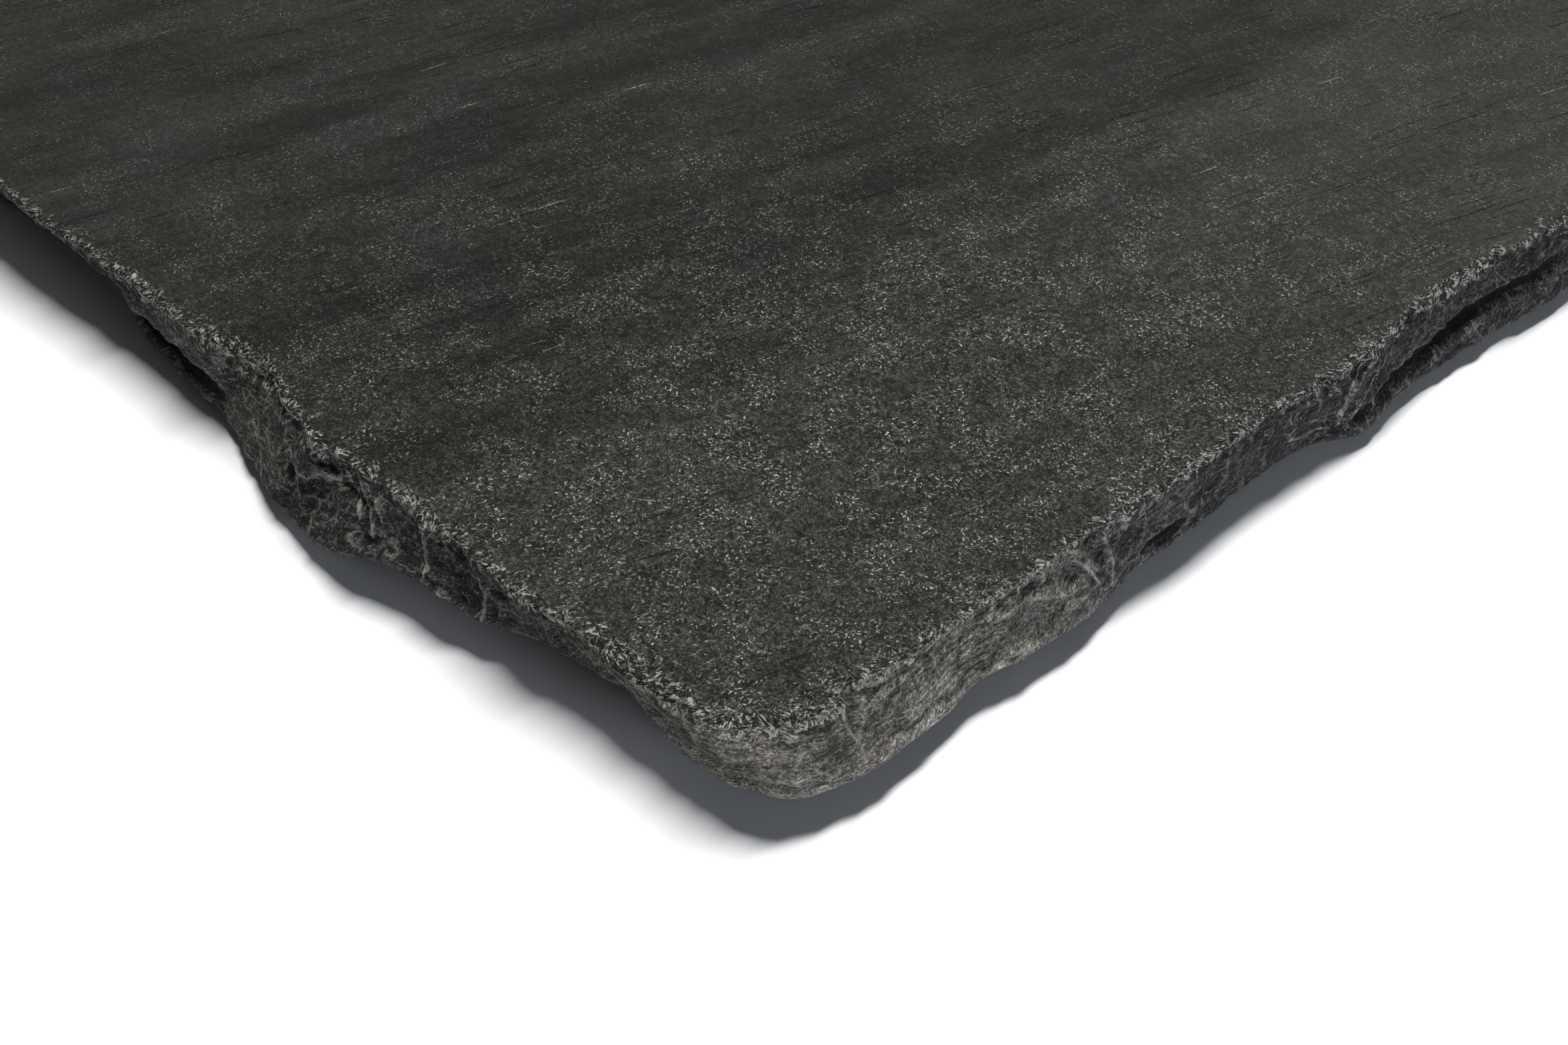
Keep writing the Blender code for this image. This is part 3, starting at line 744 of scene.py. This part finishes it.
def cleft_material(colours):
    """The cleft top and underside: near-black, with fine pale fibres and crystals, and crushed at the arris."""
    graph = StoneGraph("cleft_limestone", wander=1.1)
    place, flat, bent, grain = graph.place, graph.flat, graph.bent, graph.grain

    # Its tone drifts all one way, and painted light makes it paler by the right side, as if more light fell there.
    drifts = graph.noise(graph.stretched(flat, CLEFT_DIRECTION, length=70, width=16), 1.0, 4.0, 0.62)
    drifts = graph.remap(drifts, 0.32, 0.68, 0.62, 1.38)
    painted_light_reach = graph.weighted(graph.split(place).outputs["X"], (graph.noise(place, 50, 4.0, 0.6), 90))
    right_painted_light = graph.remap(painted_light_reach, *PAINTED_LIGHT_STRIP)
    drifts = graph.blend(graph.product(right_painted_light, 0.5), drifts, 1.0)
    drift_and_painted_light = graph.product(drifts, graph.blend(right_painted_light, 0.66, 1.2))

    # Its grain is boldest by the front corner and calmer away from it.
    mottle = graph.remap(graph.noise(place, 2.4, 4.0, 0.7), 0.36, 0.64, 0.5, 1.5)
    fibres = add_sheaves(graph, bent, patch=2.2, length=1.2, width=0.32, lean=0.3, spread=1.6)
    tone = graph.product(grain, mottle, graph.remap(fibres, 0.36, 0.64, 0.45, 1.7))
    calm = graph.remap(graph.vector("LENGTH", graph.vector("SUBTRACT", place, FRONT_CORNER)), *CALM_RANGE)
    tone = graph.blend(graph.product(calm, 0.55), tone, 1.66)

    # Dark hairs and a very few faint scratches run the way of its streaks.
    streaked = graph.stretched(bent, CLEFT_DIRECTION, length=26, width=1.0)
    hairs = graph.remap(graph.noise(streaked, 1.0), 0.63, 0.67)
    hairs = graph.product(hairs, graph.remap(graph.noise(place, 30), 0.47, 0.57))
    scratches = graph.noise(graph.vector("ADD", streaked, (7.0, 300.0, 0.0)), 1.0)
    scratches = graph.product(graph.remap(scratches, 0.73, 0.77), graph.remap(grain, DARK_GRAIN, 1.4, 0.1, 0.5))

    lumps, gaps = add_crushed_band(graph, low=1.35, high=1.65)
    tone = graph.product(tone, drift_and_painted_light, gaps, graph.blend(hairs, 1.0, 0.35))
    # Painted reflection: bluer patches stand in for the sky's sheen on the cleft face.
    painted_sky_sheen = graph.remap(graph.noise(place, 38, 3.0, 0.6), 0.52, 0.66)
    colour = graph.mix(1.0, graph.mix(painted_sky_sheen, colours.top[:], colours.painted_sky_sheen[:]), tone, "MULTIPLY")

    # Pale crystals and dots lie in crowds, are fainter where the grain is calm, and take the same painted light by the
    # right side.
    crystals = graph.product(add_crystals(graph, bent, size=1.8, share=0.65, slender=3.2, length=1.5), 0.75)
    aside = graph.vector("ADD", bent, (500.0, 0.0, 0.0))
    dots = add_crystals(graph, aside, size=1.25, share=0.45, slender=1.3, length=0.62)
    crystals = graph.highest(crystals, dots, graph.remap(fibres, 0.55, 0.72, 0.0, 0.3))
    crowd = graph.remap(graph.noise(place, 10, 3.0, 0.6), 0.42, 0.6, 0.2, 1.15)
    crystals = graph.product(crystals, graph.remap(grain, DARK_GRAIN, 1.1, 0.5, 1.0), drift_and_painted_light, crowd)
    crystals = graph.highest(graph.product(crystals, graph.blend(calm, 1.0, 0.32)), scratches)
    colour = graph.mix(crystals, colour, colours.crystal[:])
    colour = graph.mix(graph.product(lumps, CRUSHED_TONE), colour, colours.crystal[:])

    height = graph.weighted(graph.product(fibres, 0.2), (hairs, -0.25), (lumps, 0.5))
    return graph.finished(colour, graph.blend(crystals, 0.9, 0.55), height)


def broken_material(colours):
    """The broken sides: facets with fibres drawn across them and crushed, pale edges; paler where fresh and with
    painted light round the front corner, and with painted shade in the hollows.
    """
    graph = StoneGraph("broken_limestone", wander=0.5)
    place, flat, bent, grain = graph.place, graph.flat, graph.bent, graph.grain
    up_side = graph.split(flat).outputs["Y"]
    ridge, pit, fresh, even = (graph.zone(name) for name in ZONES[1:])
    fine, broad = graph.zone("proud_fine"), graph.zone("proud_broad")

    drawn_out = graph.vector("MULTIPLY", bent, (1 / 1.7, 1.0, 0.0))
    tone, tilt, edge = add_facets(graph, drawn_out, size=8.0)
    _, small_tilt, small_edge = add_facets(graph, drawn_out, size=3.2)
    lean = graph.remap(graph.noise(place, 26), 0.35, 0.65, 0.1, 0.9)
    strands = add_sheaves(graph, bent, patch=9.0, length=4.0, width=0.55, lean=lean, spread=0.35)
    fibres = add_sheaves(graph, bent, patch=3.2, length=1.3, width=0.24, lean=lean, spread=0.45)
    beds = graph.noise(graph.stretched(bent, 0.12, length=15, width=0.8), 1.0, 3.0, 0.6)
    lumps, gaps = add_crushed_band(graph, low=1.45, high=1.75)
    # Besides grain, facets, fibres and beds, the tone is paler where the stone stands proud and darker in its hollows:
    # painted light and painted shade that follow the relief.
    tone = graph.product(
        grain, gaps, graph.blend(tone, 0.75, 1.25), graph.remap(strands, 0.38, 0.62, 0.7, 1.35),
        graph.remap(fibres, 0.38, 0.62, 0.5, 1.6), graph.remap(fine, -0.2, 0.2, 0.7, 1.3),
        graph.remap(broad, -1.5, 1.5, 0.75, 1.25), graph.remap(beds, 0.38, 0.62, 0.65, 1.35),
    )
    tone = graph.blend(graph.product(even, 0.25), tone, 0.95)
    # Paler and warmer where the side is fresh, and with painted light on the faces round the front corner.
    tone = graph.product(tone, graph.remap(fresh, 0.0, 2.0, 0.64, 3.3, soft=False))
    colour = graph.mix(1.0, graph.mix(fresh, colours.side[:], colours.fresh[:]), tone, "MULTIPLY")
    # Painted shade: the scars and splits are darkened, most where they are deepest.
    deep = graph.remap(pit, 0.75, 1.0)
    pit_shade_share = graph.weighted(graph.product(pit, 0.5), (deep, 0.4))
    colour = graph.mix(pit_shade_share, colour, colours.pit[:])

    # Stone is crushed pale along the ridges, the facets' edges and the arris; the pale line along the foot is painted
    # light, standing in for light thrown up from the floor. No pale marks are left in the painted shade deep in the
    # splits.
    patchy = graph.remap(graph.noise(place, 4.0, 4.0, 0.65), 0.46, 0.56)
    edges = graph.highest(graph.remap(edge, 0.5, 0.2), graph.remap(small_edge, 0.35, 0.12, 0.0, 0.7))
    edges = graph.product(edges, patchy, graph.blend(even, 0.45, 0.2))
    crests = graph.product(graph.remap(strands, 0.5, 0.6), graph.remap(fibres, 0.55, 0.64), 0.8)
    # Painted light: a pale line along the foot, where light thrown up from the floor falls on the lower edge.
    foot = graph.product(graph.remap(up_side, 1.6, 0.6, 0.0, 0.25), graph.remap(patchy, 0.0, 1.0, 0.3, 1.0))
    pale = graph.product(graph.remap(ridge, 0.82, 0.97), graph.remap(patchy, 0.0, 1.0, 0.5, 1.0))
    pale = graph.highest(pale, edges, crests, foot)
    pale = graph.product(pale, graph.remap(grain, DARK_GRAIN, 1.4, 0.4, 1.0), graph.remap(deep, 0.0, 1.0, 1.0, 0.1))
    colour = graph.mix(graph.product(pale, 0.75), colour, colours.crystal[:])
    colour = graph.mix(graph.product(lumps, CRUSHED_TONE), colour, colours.crystal[:])

    # Small pits are left in a row under the arris, where the hammer met the side; they are dented in, and their dark
    # colour is painted shade.
    pits = graph.product(graph.remap(up_side, 13.0, 17.0), graph.remap(up_side, 21.4, 19.8))
    pits = graph.product(pits, graph.remap(graph.noise(bent, 3.4, 3.0, 0.6), 0.54, 0.62))
    colour = graph.mix(graph.product(pits, 0.75), colour, colours.pit[:])

    height = graph.weighted(graph.product(small_tilt, 0.4), (tilt, 0.5), (strands, 0.9), (fibres, 0.4))
    height = graph.weighted(graph.product(height, graph.blend(even, 1.0, 0.5)), (pits, -0.9))
    return graph.finished(colour, 0.85, height)


def floor_material(colours):
    """A plain pale floor."""
    graph = Graph("studio_floor")
    graph.fill(graph.shader, {"Base Color": colours.floor[:], "Roughness": 0.9, "Specular IOR Level": 0.1})
    return graph.material


def add_light(name, power, place, size, colour):
    """A soft box that faces the front of the slab, with its second size in the plane of Y and Z."""
    light = bpy.data.lights.new(name, "AREA")
    light.shape = "RECTANGLE"
    light.size, light.size_y = size
    light.energy = power
    light.color = colour
    box = bpy.data.objects.new(name, light)
    bpy.context.scene.collection.objects.link(box)
    box.location = place
    facing = (Vector(place) - Vector(LIGHTS_FACE)).normalized()
    long_way = facing.cross(Vector((1, 0, 0))).normalized()
    box.rotation_euler = Matrix((long_way.cross(facing), long_way, facing)).transposed().to_euler()


def add_camera(stage):
    """A camera that looks down on the front corner."""
    data = bpy.data.cameras.new("camera")
    data.lens = stage.lens
    data.clip_start = 0.01
    camera = bpy.data.objects.new("camera", data)
    bpy.context.scene.collection.objects.link(camera)
    camera.location = stage.camera_place
    camera.rotation_euler = (math.pi / 2 - stage.camera_drop, 0.0, stage.camera_heading)
    bpy.context.scene.camera = camera


COLOUR = {"subtype": "COLOR", "size": 4, "min": 0.0, "max": 1.0}


class SlabSizes(bpy.types.PropertyGroup):
    side: FloatProperty(
        name="Side", description="Length of each side of the slab", default=0.600, min=0.3, subtype="DISTANCE"
    )
    thickness: FloatProperty(
        name="Thickness", description="Height of the stone's edge", default=0.022, min=0.015, subtype="DISTANCE"
    )
    corner_radius: FloatProperty(
        name="Corner radius", description="How round the corners are", default=0.016, min=0.0, subtype="DISTANCE"
    )
    flake_depth: FloatProperty(
        name="Flake depth", description="How far the flakes of the sides tilt in and out", default=0.0024,
        min=0.0, subtype="DISTANCE",
    )
    grit_depth: FloatProperty(
        name="Grit depth", description="How rough the broken faces are", default=0.00042, min=0.0, subtype="DISTANCE"
    )
    top_swell: FloatProperty(
        name="Top swell", description="How far the cleft top rises and falls", default=0.00045, min=0.0,
        subtype="DISTANCE",
    )
    seed: IntProperty(name="Seed", description="Which random scars the hidden sides get", default=7)


class SlabColours(bpy.types.PropertyGroup):
    top: FloatVectorProperty(
        name="Top", description="Colour of the cleft face", default=(0.0234, 0.0221, 0.0192, 1.0), **COLOUR
    )
    # Painted reflection: the colour of the bluer patches that stand in for the sky's sheen on the cleft face.
    painted_sky_sheen: FloatVectorProperty(
        name="Cool patches", description="Colour of the bluer patches of the cleft face",
        default=(0.0221, 0.0221, 0.0213, 1.0), **COLOUR
    )
    side: FloatVectorProperty(
        name="Side", description="Colour of the old breaks of the sides", default=(0.029, 0.0283, 0.0269, 1.0),
        **COLOUR
    )
    # Partly painted light: this paler, warmer colour also stands in for the light on the faces round the front corner.
    fresh: FloatVectorProperty(
        name="Fresh side", description="Colour of the fresh breaks of the sides",
        default=(0.052, 0.0488, 0.043, 1.0), **COLOUR
    )
    crystal: FloatVectorProperty(
        name="Crystal", description="Colour of the pale crystals and of crushed stone",
        default=(0.50, 0.49, 0.455, 1.0), **COLOUR
    )
    # Painted shade: the dark colour put deep in the splits and pits.
    pit: FloatVectorProperty(
        name="Pit", description="Colour deep in the splits and pits", default=(0.012, 0.0115, 0.0105, 1.0), **COLOUR
    )
    floor: FloatVectorProperty(
        name="Floor", description="Colour of the studio floor", default=(0.93, 0.945, 0.97, 1.0), **COLOUR
    )


class StageSettings(bpy.types.PropertyGroup):
    camera_place: FloatVectorProperty(
        name="Camera place", description="Where the camera stands", default=(0.6116, -0.5887, 0.4395), size=3,
        subtype="TRANSLATION",
    )
    camera_drop: FloatProperty(
        name="Camera drop", description="How far the camera looks down", default=math.radians(40), subtype="ANGLE"
    )
    camera_heading: FloatProperty(
        name="Camera heading", description="How far the camera is turned from +Y", default=math.radians(46.46),
        subtype="ANGLE",
    )
    lens: FloatProperty(name="Lens", description="Focal length in millimetres", default=68.16, min=10.0)
    key_power: FloatProperty(
        name="Key light", description="Power of the soft box behind the slab", default=1200.0, min=0.0, subtype="POWER"
    )
    floor_size: FloatProperty(
        name="Floor size", description="Width of the studio floor", default=8.0, min=1.0, subtype="DISTANCE"
    )


class STONE_OT_dress_slab(bpy.types.Operator):
    """Shape the limestone slab and give it its finish"""

    bl_idname = "stone.dress_slab"
    bl_label = "Dress the slab"
    bl_options = {"REGISTER", "UNDO"}

    def execute(self, context):
        if "slab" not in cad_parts:
            raise RuntimeError("the packed model has no node named slab")
        slab = make_slab(context.scene.slab_sizes)
        slab.data.materials.append(cleft_material(context.scene.slab_colours))
        slab.data.materials.append(broken_material(context.scene.slab_colours))
        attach(slab, "root")
        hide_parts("slab")
        return {"FINISHED"}


class STONE_OT_set_stage(bpy.types.Operator):
    """Lay the floor, hang the lights and place the camera"""

    bl_idname = "stone.set_stage"
    bl_label = "Set the stage"
    bl_options = {"REGISTER", "UNDO"}

    def execute(self, context):
        stage, colours = context.scene.slab_stage, context.scene.slab_colours
        bpy.ops.mesh.primitive_plane_add(size=stage.floor_size)
        floor = context.object
        floor.name = "studio_floor"
        floor.data.materials.append(floor_material(colours))
        add_light("key_light", stage.key_power, **KEY_LIGHT)
        add_light("fill_light", stage.key_power * FILL_SHARE, **FILL_LIGHT)
        world = bpy.data.worlds.new("studio")
        world.use_nodes = True
        glow = world.node_tree.nodes["Background"].inputs
        glow["Color"].default_value = ROOM_COLOUR
        glow["Strength"].default_value = ROOM_GLOW
        context.scene.world = world
        context.scene.view_settings.view_transform = "Standard"
        add_camera(stage)
        return {"FINISHED"}


class STONE_PT_panel(bpy.types.Panel):
    """The slab's sizes and colours, and the buttons that make it"""

    bl_label = "Limestone slab"
    bl_idname = "STONE_PT_panel"
    bl_space_type = "VIEW_3D"
    bl_region_type = "UI"
    bl_category = "Stone"

    def draw(self, context):
        scene = context.scene
        groups = {"Sizes": scene.slab_sizes, "Colours": scene.slab_colours, "Stage": scene.slab_stage}
        for heading, group in groups.items():
            box = self.layout.box()
            box.label(text=heading)
            for name in group.__annotations__:
                box.prop(group, name)
        self.layout.operator(STONE_OT_dress_slab.bl_idname)
        self.layout.operator(STONE_OT_set_stage.bl_idname)


CLASSES = (SlabSizes, SlabColours, StageSettings, STONE_OT_dress_slab, STONE_OT_set_stage, STONE_PT_panel)


def register():
    for kind in CLASSES:
        bpy.utils.register_class(kind)
    bpy.types.Scene.slab_sizes = PointerProperty(type=SlabSizes)
    bpy.types.Scene.slab_colours = PointerProperty(type=SlabColours)
    bpy.types.Scene.slab_stage = PointerProperty(type=StageSettings)


def unregister():
    del bpy.types.Scene.slab_stage
    del bpy.types.Scene.slab_colours
    del bpy.types.Scene.slab_sizes
    for kind in reversed(CLASSES):
        bpy.utils.unregister_class(kind)


def main():
    register()
    bpy.ops.stone.dress_slab()
    bpy.ops.stone.set_stage()


if __name__ == "__main__":
    main()
